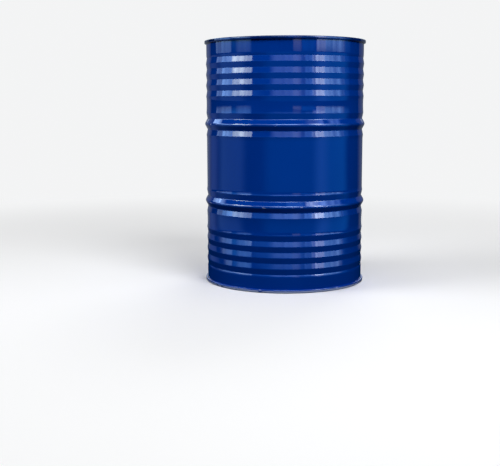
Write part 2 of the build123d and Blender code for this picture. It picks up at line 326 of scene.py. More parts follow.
@dataclass(frozen=True)
class GlossEnamel(Finish):
    """Baked blue enamel on steel, with a deep gloss and faint orange peel.

    It is rubbed where the drum rolls and stands. It is scraped pale on the lower lip and in flecks on the
    hoops' crests, a pale that is partly a painted highlight. The upper chime's outside is darkened with
    painted shade.
    """

    name: str = "blue_enamel"
    pigment: Colour = (0.0002, 0.044, 0.370, 1)
    deep: Colour = (0.0001, 0.039, 0.335, 1)
    primer: Colour = (0.060, 0.110, 0.330, 1)
    # pale blue for uncovered steel, light enough to be partly a painted highlight
    pale_steel_and_highlight: Colour = (0.40, 0.49, 0.80, 1)
    # painted shade: the dark colour laid on the upper chime's outside, standing for its shadow
    rim_shade_colour: Colour = (0.0005, 0.004, 0.040, 1)
    refraction: float = 1.52
    gloss: float = 0.04
    dust_dulling: float = 0.03
    rub_dulling: float = 0.30
    wear_dulling: float = 0.25
    rim_shade_dulling: float = 0.04
    patches: Grain = Grain(3.5, 3.0, (1, 1, 0.6), (0.3, 0.7))
    dust: Grain = Grain(45.0, 5.0, levels=(0.45, 0.75))
    peel: Grain = Grain(420.0, 1.0)
    peel_depth: float = 0.010 * MM
    ripple: Grain = Grain(24.0, 1.0, (1, 1, 0.7))
    ripple_depth: float = 0.05 * MM
    scuffs: Grain = Grain(160.0, 4.0, (1, 1, 2.5), (0.62, 0.72))
    scuff_radius: Step = (291.6 * MM, 292.8 * MM)
    scuff_share: float = 0.35
    # flecks on the hoops' crests, partly painted glints in the crest highlight
    crest_flecks_and_glints: Grain = Grain(42.0, 2.0, (1, 1, 2.2), (0.64, 0.70))
    chip_radius: Step = (292.0 * MM, 292.44 * MM)
    chip_ceiling: Step = (700.0 * MM, 750.0 * MM)
    chip_share: float = 0.8
    # scrapes along the lower lip, painted pale as a highlight too
    lip: Grain = Grain(30.0, 4.0, (1, 1, 0.5), (0.22, 0.46))
    lip_ceiling: Step = (6.8 * MM, 8.5 * MM)
    lip_radius: Step = (289.5 * MM, 291.6 * MM)
    scraped_highlight_share: float = 0.9
    rim_shade_mottle: Grain = Grain(14.0, 4.0, levels=(0.3, 0.7))
    # painted shade on the upper chime's outside: its height, its radius, and how dark it is
    rim_shade_height: Step = (865.0 * MM, 866.0 * MM)
    rim_shade_radius: Step = (288.0 * MM, 289.5 * MM)
    rim_shade_least: float = 0.62
    rim_shade_spread: float = 0.25
    weld_side: Step = (2.24 * MM, 3.2 * MM)
    weld_back: Step = (0.0, 10.0 * MM)
    weld_radius: Step = (281.0 * MM, 282.0 * MM)
    weld_span: Point = (14.0 * MM, 864.0 * MM)
    weld_waves: float = 2300.0
    weld_wave_share: float = 0.5
    weld_grain: Grain = Grain(500.0, 3.0)
    weld_depth: float = 0.12 * MM

    def scraped_and_highlit(self, bench: Bench, up: Signal, radius: Signal) -> Signal:
        """Where the paint is scraped pale: in places along the lower lip, and in flecks on the hoops' crests.

        The pale stands partly for uncovered steel and partly for a painted highlight.

        Args:
            bench: the material's bench.
            up: height on the drum.
            radius: distance from the drum's axis.

        Returns:
            1 where the paint is scraped pale, partly as a painted highlight.
        """
        lip = (1 - up.above(*self.lip_ceiling)) * radius.above(*self.lip_radius) * bench.grain(self.lip)
        crests = radius.above(*self.chip_radius) * (1 - up.above(*self.chip_ceiling))
        return lip + bench.grain(self.crest_flecks_and_glints) * crests * self.chip_share

    def rim_shade(self, bench: Bench, up: Signal, radius: Signal) -> Signal:
        """How dark the painted shade is, on the outside of the upper chime, mottled at random."""
        mottled = self.rim_shade_least + self.rim_shade_spread * bench.grain(self.rim_shade_mottle)
        return up.above(*self.rim_shade_height) * radius.above(*self.rim_shade_radius) * mottled

    def weld_marks(self, bench: Bench, spot: Spot, radius: Signal) -> Signal:
        """The marks of the seam welder.

        Args:
            bench: the material's bench.
            spot: the place on the drum.
            radius: its distance from the drum's axis.

        Returns:
            Their height, which is 0 away from the weld.
        """
        strip = (1 - spot.across.size().above(*self.weld_side)) * spot.back.above(*self.weld_back)
        strip = strip * radius.above(*self.weld_radius) * spot.up.within(*self.weld_span, MM)
        waves = (spot.up * self.weld_waves).wave() * self.weld_wave_share
        return strip * (waves + bench.grain(self.weld_grain))

    def inputs(self, bench: Bench) -> dict[str, Any]:
        """What the shader takes for the enamel.

        Args:
            bench: the material's bench.

        Returns:
            A value for each socket.
        """
        spot = bench.spot(bench.place())
        radius = spot.radius()
        rubbed = bench.grain(self.scuffs) * radius.above(*self.scuff_radius) * self.scuff_share
        scraped_highlit = self.scraped_and_highlit(bench, spot.up, radius)
        rim_shaded = self.rim_shade(bench, spot.up, radius)
        colour = bench.blend(bench.grain(self.patches), self.deep, self.pigment)
        colour = bench.blend(rubbed, colour, self.primer)
        # painted shade darkens the upper chime's outside
        colour = bench.blend(rim_shaded, colour, self.rim_shade_colour)
        # partly painted highlight: the lower lip and the crest flecks take the pale colour
        colour = bench.blend(scraped_highlit * self.scraped_highlight_share, colour, self.pale_steel_and_highlight)
        roughness = self.gloss + self.dust_dulling * bench.grain(self.dust) + self.rub_dulling * rubbed
        roughness = roughness + self.wear_dulling * scraped_highlit + self.rim_shade_dulling * rim_shaded
        skin = (bench.grain(self.peel), self.peel_depth), (bench.grain(self.ripple), self.ripple_depth)
        normal = bench.bumps(*skin, (self.weld_marks(bench, spot, radius), self.weld_depth))
        return {"Base Color": colour, "Roughness": roughness, "Normal": normal, "IOR": self.refraction}


@dataclass(frozen=True)
class ZincPlate(Finish):
    """Dull zinc plate on pressed steel, with a faint grain and darker spots where it has been handled."""

    name: str = "zinc_plate"
    bright: Colour = (0.66, 0.67, 0.66, 1)
    dull: Colour = (0.42, 0.43, 0.42, 1)
    stain: Colour = (0.30, 0.26, 0.19, 1)
    spangle: Grain = Grain(260.0, 3.0)
    spangle_levels: Step = (0.35, 0.65)
    spangle_depth: float = 0.03 * MM
    handled: Grain = Grain(70.0, 4.0, levels=(0.62, 0.80))
    stain_share: float = 0.5
    tooth: Grain = Grain(900.0, 2.0)
    tooth_depth: float = 0.02 * MM
    roughness: float = 0.26
    spangle_dulling: float = 0.16
    stain_dulling: float = 0.15

    def inputs(self, bench: Bench) -> dict[str, Any]:
        """What the shader takes for the plating.

        Args:
            bench: the material's bench.

        Returns:
            A value for each socket.
        """
        spangle, handled = bench.grain(self.spangle), bench.grain(self.handled)
        colour = bench.blend(spangle.above(*self.spangle_levels), self.dull, self.bright)
        colour = bench.blend(handled * self.stain_share, colour, self.stain)
        roughness = self.roughness + self.spangle_dulling * spangle + self.stain_dulling * handled
        normal = bench.bumps((bench.grain(self.tooth), self.tooth_depth), (spangle, self.spangle_depth))
        return {"Base Color": colour, "Roughness": roughness, "Normal": normal, "Metallic": 1.0}


@dataclass(frozen=True)
class SealRubber(Finish):
    """Black rubber with a matt, slightly mottled skin."""

    name: str = "seal_rubber"
    dark: Colour = (0.012, 0.012, 0.013, 1)
    bloom: Colour = (0.040, 0.040, 0.042, 1)
    mottle: Grain = Grain(180.0, 4.0)
    bloom_levels: Step = (0.4, 0.8)
    skin: Grain = Grain(1400.0, 2.0)
    skin_depth: float = 0.03 * MM
    roughness: float = 0.55
    mottle_dulling: float = 0.2

    def inputs(self, bench: Bench) -> dict[str, Any]:
        """What the shader takes for the rubber.

        Args:
            bench: the material's bench.

        Returns:
            A value for each socket.
        """
        mottle = bench.grain(self.mottle)
        colour = bench.blend(mottle.above(*self.bloom_levels), self.dark, self.bloom)
        roughness = self.roughness + self.mottle_dulling * mottle
        normal = bench.bumps((bench.grain(self.skin), self.skin_depth))
        return {"Base Color": colour, "Roughness": roughness, "Normal": normal}


@dataclass(frozen=True)
class SeamCompound(Finish):
    """Cured sealing compound, inside the rolled seams."""

    name: str = "seam_compound"
    pale: Colour = (0.40, 0.37, 0.30, 1)
    brown: Colour = (0.24, 0.21, 0.16, 1)
    mottle: Grain = Grain(120.0, 3.0)
    skin: Grain = Grain(600.0, 2.0)
    skin_depth: float = 0.05 * MM
    roughness: float = 0.6
    mottle_dulling: float = 0.2

    def inputs(self, bench: Bench) -> dict[str, Any]:
        """What the shader takes for the compound.

        Args:
            bench: the material's bench.

        Returns:
            A value for each socket.
        """
        mottle = bench.grain(self.mottle)
        colour = bench.blend(mottle, self.brown, self.pale)
        roughness = self.roughness + self.mottle_dulling * mottle
        normal = bench.bumps((bench.grain(self.skin), self.skin_depth))
        return {"Base Color": colour, "Roughness": roughness, "Normal": normal}


# ---- Lines and turned sheets ----
def arc_steps(angle: float, finest: float) -> int:
    """How many straight steps an arc takes, none turning by more than the finest angle."""
    return max(2, math.ceil(angle / finest))


def bent_line(points: list[Point], bends: list[float], finest: float = math.radians(12)) -> list[Point]:
    """A line of straight runs joined by round bends.

    Args:
        points: the corners of the line, as radius and height, with its two ends.
        bends: the radius of the bend at each corner between the ends.
        finest: the largest turn of one step of a bend.

    Returns:
        The line's points, with each bend in short steps.
    """
    line = [Vector(points[0])]
    for index, bend in enumerate(bends):
        before, corner, after = (Vector(point) for point in points[index:index + 3])
        arrive, leave = (corner - before).normalized(), (after - corner).normalized()
        turn = arrive.angle_signed(leave)
        start = corner - arrive * bend * math.tan(abs(turn) / 2)
        side = Vector((arrive.y, -arrive.x)) * math.copysign(bend, turn)
        steps = arc_steps(abs(turn), finest)
        for step in range(steps + 1):
            line.append(start + side - Matrix.Rotation(-turn * step / steps, 2) @ side)
    line.append(Vector(points[-1]))
    return [(point.x, point.y) for point in line]


def swelled_line(stations: list[Triple], finest: float = math.radians(4)) -> list[Point]:
    """A line that is upright at each station, bent there, and straight between the bends.

    The steps of a bend are shorter at its ends, so that the straight flanks shade as straight ones.

    Args:
        stations: radius, height and bend of each station.
        finest: about how far one step turns.

    Returns:
        The line's points.
    """
    line = [stations[0][:2]]
    for (near, low, low_bend), (far, high, high_bend) in zip(stations, stations[1:]):
        swell, run, bends = abs(far - near), high - low, low_bend + high_bend
        if swell < STRAIGHT:
            line.append((far, high))
            continue
        slope = math.atan2(run, bends - swell) - math.acos(bends / math.hypot(run, bends - swell))
        side = math.copysign(1.0, far - near)
        steps = arc_steps(slope, finest) + 1
        turns = [slope * (1 - math.cos(math.pi * step / steps)) / 2 for step in range(steps + 1)]
        bow = [(1 - math.cos(turn), math.sin(turn)) for turn in turns]
        line += [(near + side * low_bend * out, low + low_bend * along) for out, along in bow]
        line += [(far - side * high_bend * out, high - high_bend * along) for out, along in reversed(bow)]
    return line


@dataclass
class Sheet:
    """One sheet of metal, built as its middle surface and then given its thickness."""

    name: str
    thickness: float
    mesh: bmesh.types.BMesh = field(default_factory=bmesh.new)

    def turn(self, line: list[Point], steps: int, centre: Point = (0.0, 0.0),
             start: float = 0.0, angle: float = FULL_TURN) -> None:
        """Turns a line about an upright axis and adds the surface.

        Args:
            line: radius and height of the line's points.
            steps: how many steps the turn takes.
            centre: where the axis stands.
            start: the azimuth where the turn starts.
            angle: how far it goes.
        """
        away = Vector((math.cos(start), math.sin(start), 0))
        axis = Vector((centre[0], centre[1], 0))
        corners = [self.mesh.verts.new(axis + away * radius + Vector((0, 0, height)))
                   for radius, height in line]
        edges = [self.mesh.edges.new(pair) for pair in zip(corners, corners[1:])]
        whole = abs(angle - FULL_TURN) < STRAIGHT
        bmesh.ops.spin(self.mesh, geom=corners + edges, cent=axis, axis=(0, 0, 1), dvec=(0, 0, 0),
                       angle=angle, steps=steps, use_merge=whole, use_duplicate=False)

    def fill_level(self, height: float) -> None:
        """Fills the level region between all the open edges at a height.

        Args:
            height: the height.
        """
        self.weld()
        level = [edge for edge in self.mesh.edges if edge.is_boundary
                 and all(abs(corner.co.z - height) < TOUCH for corner in edge.verts)]
        bmesh.ops.triangle_fill(self.mesh, edges=level, use_beauty=True, use_dissolve=False, normal=(0, 0, 1))

    def weld(self) -> None:
        """Joins corners that fall in one place."""
        bmesh.ops.remove_doubles(self.mesh, verts=self.mesh.verts, dist=TOUCH)

    def uneven(self, lift: Callable[[Vector], float]) -> None:
        """Moves each corner out from the drum's axis.

        Args:
            lift: how far out a corner moves, from its place.
        """
        for corner in self.mesh.verts:
            out = Vector((corner.co.x, corner.co.y, 0))
            if out.length > MM:
                corner.co += out.normalized() * lift(corner.co)

    def finish(self) -> bpy.types.Object:
        """Ends the sheet as a piece with its thickness.

        Returns:
            The piece.
        """
        self.weld()
        bmesh.ops.recalc_face_normals(self.mesh, faces=self.mesh.faces)
        data = bpy.data.meshes.new(self.name)
        self.mesh.to_mesh(data)
        self.mesh.free()
        data.shade_smooth()
        piece = bpy.data.objects.new(self.name, data)
        bpy.context.scene.collection.objects.link(piece)
        wall = piece.modifiers.new("thickness", "SOLIDIFY")
        wall.thickness = self.thickness
        wall.offset = 0
        wall.use_even_offset = True
        return piece


def settle(piece: bpy.types.Object, node: str, material: bpy.types.Material) -> bpy.types.Object:
    """Dresses a piece, lets it stand for a solid, and makes it ride on the drum.

    Args:
        piece: the piece.
        node: the name of the solid.
        material: the piece's finish.

    Returns:
        The piece.
    """
    piece.data.materials.append(material)
    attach(piece, Body.DRUM.value)
    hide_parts(node)
    return piece


@dataclass(frozen=True)
class Seam:
    """The rolled seam of shell and head, as the middle lines of its two sheets."""

    sheet: float = 1.0 * MM
    height: float = 12.0 * MM
    film: float = 0.3 * MM
    turn_gap: float = 0.15 * MM
    core_gap: float = 0.3 * MM
    crest_bend: float = 3.0 * MM
    under_bend: float = 2.4 * MM
    tail_bend: float = 1.1 * MM
    end_gap: float = 0.8 * MM
    tail: float = 5.7 * MM
    bore_radius: float = 285.75 * MM

    @property
    def step(self) -> float:
        """From the middle of the head's sheet to the middle of the shell's."""
        return self.sheet + self.film

    @property
    def wall(self) -> float:
        """Radius of the middle of the shell's wall."""
        return self.bore_radius + self.sheet / 2

    @property
    def chuck(self) -> float:
        """Radius of the middle of the head's upright wall."""
        return self.bore_radius - self.film - self.sheet / 2

    @property
    def head_up(self) -> float:
        """Radius of the head's sheet where it turns up again inside the seam."""
        return self.wall + self.sheet + self.turn_gap

    @property
    def shell_up(self) -> float:
        """Radius of the shell's sheet where it turns up again."""
        return self.head_up + self.step

    @property
    def head_tail(self) -> float:
        """Radius of the head's end, in the seam's core."""
        return self.shell_up + self.sheet + self.core_gap

    @property
    def shell_down(self) -> float:
        """Radius of the shell's sheet on its way down."""
        return self.head_tail + self.sheet + self.core_gap

    @property
    def head_down(self) -> float:
        """Radius of the head's sheet on its way down, which is the seam's outside."""
        return self.shell_down + self.step

    @property
    def tail_over(self) -> float:
        """Depth of the head's sheet where it turns over in the seam's core."""
        return self.sheet / 2 + self.step + self.sheet + self.turn_gap

    def shell_hook(self) -> tuple[list[Point], list[float]]:
        """The shell's part of the seam.

        Returns:
            Its corners, as radius and depth from the crest, and the bend at each corner between the ends.
        """
        over = self.sheet / 2 + self.step
        under = self.height - over
        end = self.tail_over + self.sheet / 2 + self.end_gap
        points = [(self.wall, over + self.height), (self.wall, over), (self.shell_down, over)]
        points += [(self.shell_down, under), (self.shell_up, under), (self.shell_up, end)]
        crest, foot = self.crest_bend - self.step, self.under_bend - self.step
        return points, [crest] * 2 + [foot] * 2

    def head_hook(self) -> tuple[list[Point], list[float]]:
        """The head's part of the seam.

        Returns:
            Its corners, as radius and depth from the crest, and the bend at each corner between the ends.
        """
        over = self.sheet / 2
        under = self.height - over
        points = [(self.chuck, over), (self.head_down, over), (self.head_down, under), (self.head_up, under)]
        points += [(self.head_up, self.tail_over), (self.head_tail, self.tail_over)]
        points += [(self.head_tail, self.tail_over + self.tail)]
        return points, [self.crest_bend] * 2 + [self.under_bend] * 2 + [self.tail_bend] * 2


@dataclass(frozen=True)
class Shell:
    """The rolled shell: two hoops with their necks and shoulders, beads towards both ends, and one weld."""

    seam: Seam
    drum_height: float
    hoop_height: float = 140.0 * MM
    hoop_rise: float = 6.2 * MM
    hoop_bend: float = 11.0 * MM
    neck_reach: float = 20.5 * MM
    neck_depth: float = 2.5 * MM
    neck_bend: float = 6.0 * MM
    shoulder_reach: float = 40.0 * MM
    shoulder_rise: float = 1.2 * MM
    shoulder_bend: float = 8.0 * MM
    shoulder_fade: float = 30.0 * MM
    waist_fade: float = 15.0 * MM
    bead_count: int = 4
    bead_pitch: float = 38.8 * MM
    bead_depth: float = 3.0 * MM
    bead_bend: float = 9.0 * MM
    bead_to_hoop: float = 99.0 * MM
    bead_fade: float = 12.0 * MM
    weld_width: float = 6.0 * MM
    weld_proud: float = 0.25 * MM
    unevenness: float = 0.22 * MM
    long_waves: float = 9.0
    short_waves: float = 23.0
    short_share: float = 0.5
    short_shift: Triple = (7.0, 3.0, 1.0)
    even_end: float = 30.0 * MM
    steps: int = 120
    weld_steps: int = 4

    def ease(self, run: float, rise: float, bend: float) -> float:
        """The bend that eases the upright wall into a crest or valley, nearly up to the latter's own bend."""
        slope = 2 * rise / run
        return (run - bend * slope) / slope

    def stations(self) -> list[Triple]:
        """The places where the wall is upright, from the lower seam to the upper one.

        Returns:
            Radius, height and bend of each.
        """
        side = [(self.neck_reach, -self.neck_depth, self.neck_bend)]
        side += [(self.shoulder_reach, self.shoulder_rise, self.shoulder_bend)]
        ease = self.ease(self.waist_fade, self.shoulder_rise, self.shoulder_bend)
        inner = side + [(self.shoulder_reach + self.waist_fade, 0.0, ease)]
        ease = self.ease(self.shoulder_fade, self.shoulder_rise, self.shoulder_bend)
        outer = side + [(self.shoulder_reach + self.shoulder_fade, 0.0, ease)]
        upper = [(self.hoop_height - reach, rise, bend) for reach, rise, bend in reversed(inner)]
        upper += [(self.hoop_height, self.hoop_rise, self.hoop_bend)]
        upper += [(self.hoop_height + reach, rise, bend) for reach, rise, bend in outer]
        half_pitch, half_depth = self.bead_pitch / 2, self.bead_depth / 2
        first = self.hoop_height + self.bead_to_hoop
        upper += [(first - half_pitch, 0.0, self.ease(half_pitch, half_depth, self.bead_bend))]
        for number in range(self.bead_count):
            crest = first + number * self.bead_pitch
            upper += [(crest, half_depth, self.bead_bend), (crest + half_pitch, -half_depth, self.bead_bend)]
        ease = self.ease(self.bead_fade, half_depth, self.bead_bend)
        upper += [(upper[-1][0] + self.bead_fade, 0.0, ease)]
        whole = [(-height, rise, bend) for height, rise, bend in reversed(upper)] + upper
        return [(self.seam.wall + rise, self.drum_height / 2 + height, bend) for height, rise, bend in whole]

    def line(self) -> list[Point]:
        """The middle line of the whole shell.

        Returns:
            Radius and height of its points, from the end of the lower hook to the end of the upper one.
        """
        points, bends = self.seam.shell_hook()
        hook = bent_line(points, bends)
        lower = [(radius, depth) for radius, depth in reversed(hook)]
        upper = [(radius, self.drum_height - depth) for radius, depth in hook]
        return lower + swelled_line(self.stations()) + upper

    def lift(self, place: Vector) -> float:
        """How far the rolled sheet strays from true. Its gentle waves only go inwards, and end at the seams.

        Args:
            place: a place on the shell.

        Returns:
            How far out it moves.
        """
        near_end = min(place.z, self.drum_height - place.z)
        fade = min(1.0, max(0.0, (near_end - self.even_end) / self.even_end))
        short = noise.noise(place * self.short_waves + Vector(self.short_shift))
        waves = noise.noise(place * self.long_waves) + self.short_share * short - 1.0
        lifted = self.unevenness * fade * waves
        if place.y > 0 and abs(place.x) < self.weld_width / 4:
            lifted += self.weld_proud * fade
        return lifted

    def build(self) -> bpy.types.Object:
        """Makes the shell's piece.

        Returns:
            The piece.
        """
        sheet = Sheet("shell", self.seam.sheet)
        half_weld = self.weld_width / self.seam.wall / 2
        back = math.pi / 2
        line = self.line()
        sheet.turn(line, self.steps, start=back + half_weld, angle=FULL_TURN - 2 * half_weld)
        sheet.turn(line, self.weld_steps, start=back - half_weld, angle=2 * half_weld)
        sheet.weld()
        sheet.uneven(self.lift)
        return sheet.finish()


@dataclass(frozen=True)
class Bung:
    """A screwed bung, as far as the head follows it.

    Its sizes are the outer diameter of its thread, the wall of its flange's neck, and how far a flat of the
    flange's base lies from the neck. The side is 1 or -1 along X, and the steps go round its boss.
    """

    major: float
    neck_wall: float
    base_ledge: float
    side: int
    steps: int


@dataclass(frozen=True)
class Boss:
    """The raised place round a bung: where it stands, and the radii of its foot, its top and its collar."""

    x: float
    foot: float
    top: float
    collar: float
    steps: int


@dataclass(frozen=True)
class Head:
    """A pressed head: its panel, its upright wall, and its part of the seam."""

    seam: Seam
    drum_height: float
    recess: float = 19.0 * MM
    corner: float = 8.0 * MM
    level: float = 3.0 * MM
    press_bend: float = 6.0 * MM
    steps: int = 192

    @property
    def panel_depth(self) -> float:
        """Depth of the middle of the panel's sheet below the seam's crest."""
        return self.recess + self.seam.sheet / 2

    def rim_line(self) -> tuple[list[Point], list[float]]:
        """The line from the panel's edge to the end of the head's hook.

        Returns:
            Its corners, as radius and depth, and the bend at each corner between the ends.
        """
        hook, bends = self.seam.head_hook()
        edge = self.seam.chuck - self.corner - self.level
        return [(edge, self.panel_depth), (self.seam.chuck, self.panel_depth)] + hook, [self.corner] + bends


@dataclass(frozen=True)
class TopHead(Head):
    """The top head, with a raised middle and a boss for each bung."""

    disc_rise: float = 3.0 * MM
    disc_ramp: float = 8.0 * MM
    disc_margin: float = 9.0 * MM
    bung_margin: float = 7.5 * MM
    boss_rise: float = 3.0 * MM
    boss_ramp: float = 4.0 * MM
    boss_bend: float = 2.5 * MM
    collar_height: float = 4.0 * MM
    collar_bend: float = 1.6 * MM
    base_clearance: float = 1.5 * MM
    base_sides: int = 8
    fit: float = 0.1 * MM
    large: Bung = Bung(59.614 * MM, 3.5 * MM, 5.5 * MM, 1, 96)
    small: Bung = Bung(26.441 * MM, 2.8 * MM, 5.0 * MM, -1, 72)

    def boss(self, bung: Bung) -> Boss:
        """A bung's boss, which clears the corners of the flange's base.

        Args:
            bung: the bung.

        Returns:
            The boss.
        """
        neck = bung.major / 2 + bung.neck_wall
        top = (neck + bung.base_ledge) / math.cos(math.pi / self.base_sides) + self.base_clearance
        foot = top + self.boss_ramp
        collar = neck + self.fit + self.seam.sheet / 2
        x = bung.side * (self.seam.chuck - self.corner - self.bung_margin - foot)
        return Boss(x, foot, top, collar, bung.steps)

    def boss_line(self, boss: Boss) -> list[Point]:
        """The middle line of a boss.

        Args:
            boss: the boss.

        Returns:
            Radius and height of its points, from the panel to the top of its collar.
        """
        panel = self.drum_height - self.panel_depth
        raised = panel + self.boss_rise
        collar_top = raised + self.seam.sheet / 2 + self.collar_height
        points = [(boss.foot + self.level, panel), (boss.foot - self.boss_bend, panel)]
        points += [(boss.top - self.boss_bend, raised), (boss.collar, raised), (boss.collar, collar_top)]
        return bent_line(points, [self.boss_bend, self.boss_bend, self.collar_bend])

    def build(self) -> bpy.types.Object:
        """Makes the top head's piece.

        Returns:
            The piece.
        """
        sheet = Sheet("top_end", self.seam.sheet)
        panel = self.drum_height - self.panel_depth
        points, bends = self.rim_line()
        rim = bent_line([(radius, self.drum_height - depth) for radius, depth in points], bends)
        sheet.turn(rim, self.steps)
        large, small = self.boss(self.large), self.boss(self.small)
        disc = large.x - large.foot - self.disc_margin
        raised = panel + self.disc_rise
        middle = [(0.0, raised), (disc - self.disc_ramp, raised), (disc, panel), (disc + self.level, panel)]
        sheet.turn(bent_line(middle, [self.press_bend, self.press_bend]), self.steps)
        for boss in (large, small):
            sheet.turn(self.boss_line(boss), boss.steps, centre=(boss.x, 0.0))
        sheet.fill_level(panel)
        return sheet.finish()


@dataclass(frozen=True)
class BottomHead(Head):
    """The bottom head, stiffened by rings pressed outwards."""

    ring_radii: tuple[float, ...] = (95.0 * MM, 160.0 * MM, 225.0 * MM)
    ring_half_width: float = 11.0 * MM
    ring_rise: float = 4.0 * MM

    def build(self) -> bpy.types.Object:
        """Makes the bottom head's piece.

        Returns:
            The piece.
        """
        sheet = Sheet("bottom_end", self.seam.sheet)
        points: list[Point] = [(0.0, self.panel_depth)]
        for radius in self.ring_radii:
            points += [(radius - self.ring_half_width, self.panel_depth)]
            points += [(radius, self.panel_depth - self.ring_rise)]
            points += [(radius + self.ring_half_width, self.panel_depth)]
        rim, bends = self.rim_line()
        ring_bends = [self.press_bend] * (len(points) - 1)
        sheet.turn(bent_line(points + rim[1:], ring_bends + bends), self.steps)
        return sheet.finish()


# ---- Studio ----
@dataclass(frozen=True)
class Window:
    """A lit pane of the room, as the drum's gloss shows it, from its left to its right azimuth in degrees.

    Each rung is an elevation in degrees and the pane's share of its strength there.
    """

    left: float
    right: float
    strength: float
    tint: Triple
    rungs: tuple[Point, ...] = ()
    edge: float = 1.2


@dataclass(frozen=True)
class SoftBox:
    """A soft round lamp that lights the paint and the floor, without showing in the gloss."""

    name: str
    azimuth: float
    elevation: float
    distance: float
    size: float
    power: float


# How strong each kind of window is at its rungs, from the horizon up.
WEST = ((7.0, 0.0), (8.3, 0.4), (10.0, 0.45), (14.6, 0.50), (15.5, 0.62), (15.9, 1.1), (17.5, 1.0),
        (23.0, 1.0), (26.0, 1.5), (31.0, 1.5), (33.0, 0.0))
LOW_WEST = ((1.1, 0.0), (1.9, 0.8), (8.5, 1.0), (10.0, 0.0))
MID_WEST = ((1.1, 0.0), (1.9, 0.36), (7.0, 0.4), (8.5, 0.9), (13.0, 1.0), (14.2, 0.6), (16.0, 1.1),
            (24.5, 0.35), (27.5, 0.06), (29.0, 0.0))
FAR_WEST = ((1.0, 0.0), (2.2, 0.3), (12.0, 0.5), (20.0, 1.1), (26.0, 1.0), (29.0, 0.0))
HIGH_WEST = ((14.0, 0.0), (20.0, 0.9), (26.0, 1.0), (29.0, 0.0))
EAST = ((4.5, 0.0), (6.0, 0.36), (8.5, 0.42), (11.0, 1.0), (15.0, 1.0), (17.0, 0.6), (22.0, 0.5),
        (25.0, 1.3), (38.0, 1.3), (40.5, 0.2), (45.0, 0.2), (49.0, 0.03), (52.0, 0.0))
LOW_EAST = ((1.4, 0.0), (2.4, 1.0), (4.5, 1.0), (6.0, 0.0))
FAR_EAST = ((1.2, 0.0), (2.8, 0.34), (7.0, 0.3), (10.0, 1.0), (18.0, 0.8), (30.0, 0.6), (40.0, 0.7),
            (43.0, 0.0))
MIDDLE = ((7.0, 0.0), (8.3, 0.35), (9.3, 0.8), (16.0, 1.1), (19.0, 0.8), (23.0, 1.0), (30.0, 0.0))
LAMP = ((1.0, 0.0), (3.0, 1.3), (3.9, 1.2), (4.4, 0.45), (9.0, 0.5), (15.0, 0.8), (19.0, 1.0), (24.0, 0.5),
        (30.0, 0.0))
HAZE = ((6.5, 0.0), (8.3, 0.7), (10.5, 1.0), (16.2, 0.9), (18.0, 0.0))
WEST_HAZE = ((2.0, 0.0), (4.5, 0.45), (7.5, 0.6), (9.0, 1.0), (13.0, 0.4), (17.0, 0.0))
EAST_HAZE = ((1.5, 0.0), (3.0, 0.7), (5.0, 0.9), (10.0, 1.0), (14.0, 0.7), (17.0, 0.4), (24.0, 0.4),
             (28.0, 0.0))
BLUE_PANE = ((6.0, 0.0), (7.5, 0.5), (9.8, 0.55), (10.8, 1.0), (16.0, 1.0), (18.0, 0.5), (24.0, 0.5),
             (30.0, 0.0))
HIGH_EAST = ((32.0, 0.0), (36.0, 1.0), (47.0, 1.0), (48.5, 0.2), (52.0, 0.06), (54.0, 0.0))
HIGH_FAR_EAST = ((22.0, 0.0), (27.0, 1.0), (40.0, 1.0), (44.0, 0.0))
HIGH_MIDDLE = ((38.0, 0.0), (42.0, 1.0), (49.6, 1.0), (51.5, 0.0))
SKYLIGHT = ((22.0, 0.0), (25.0, 1.0), (40.0, 1.0), (44.0, 0.0))
FAR_ROOM = ((0.0, 1.0), (16.0, 0.8), (30.0, 0.5), (60.0, 0.0))
BACK = ((6.0, 0.0), (20.0, 1.0), (30.0, 1.0), (40.0, 0.35), (60.0, 0.3), (66.0, 0.0))
OVERHEAD = ((64.0, 0.0), (70.0, 1.0), (89.0, 1.0))
DAYLIGHT = (0.86, 1.0, 1.05)
OVERCAST = (0.85, 0.95, 1.0)
FROSTED = (0.66, 0.78, 1.0)
SKY = (0.38, 0.60, 1.0)
DUSK = (0.27, 0.44, 1.0)


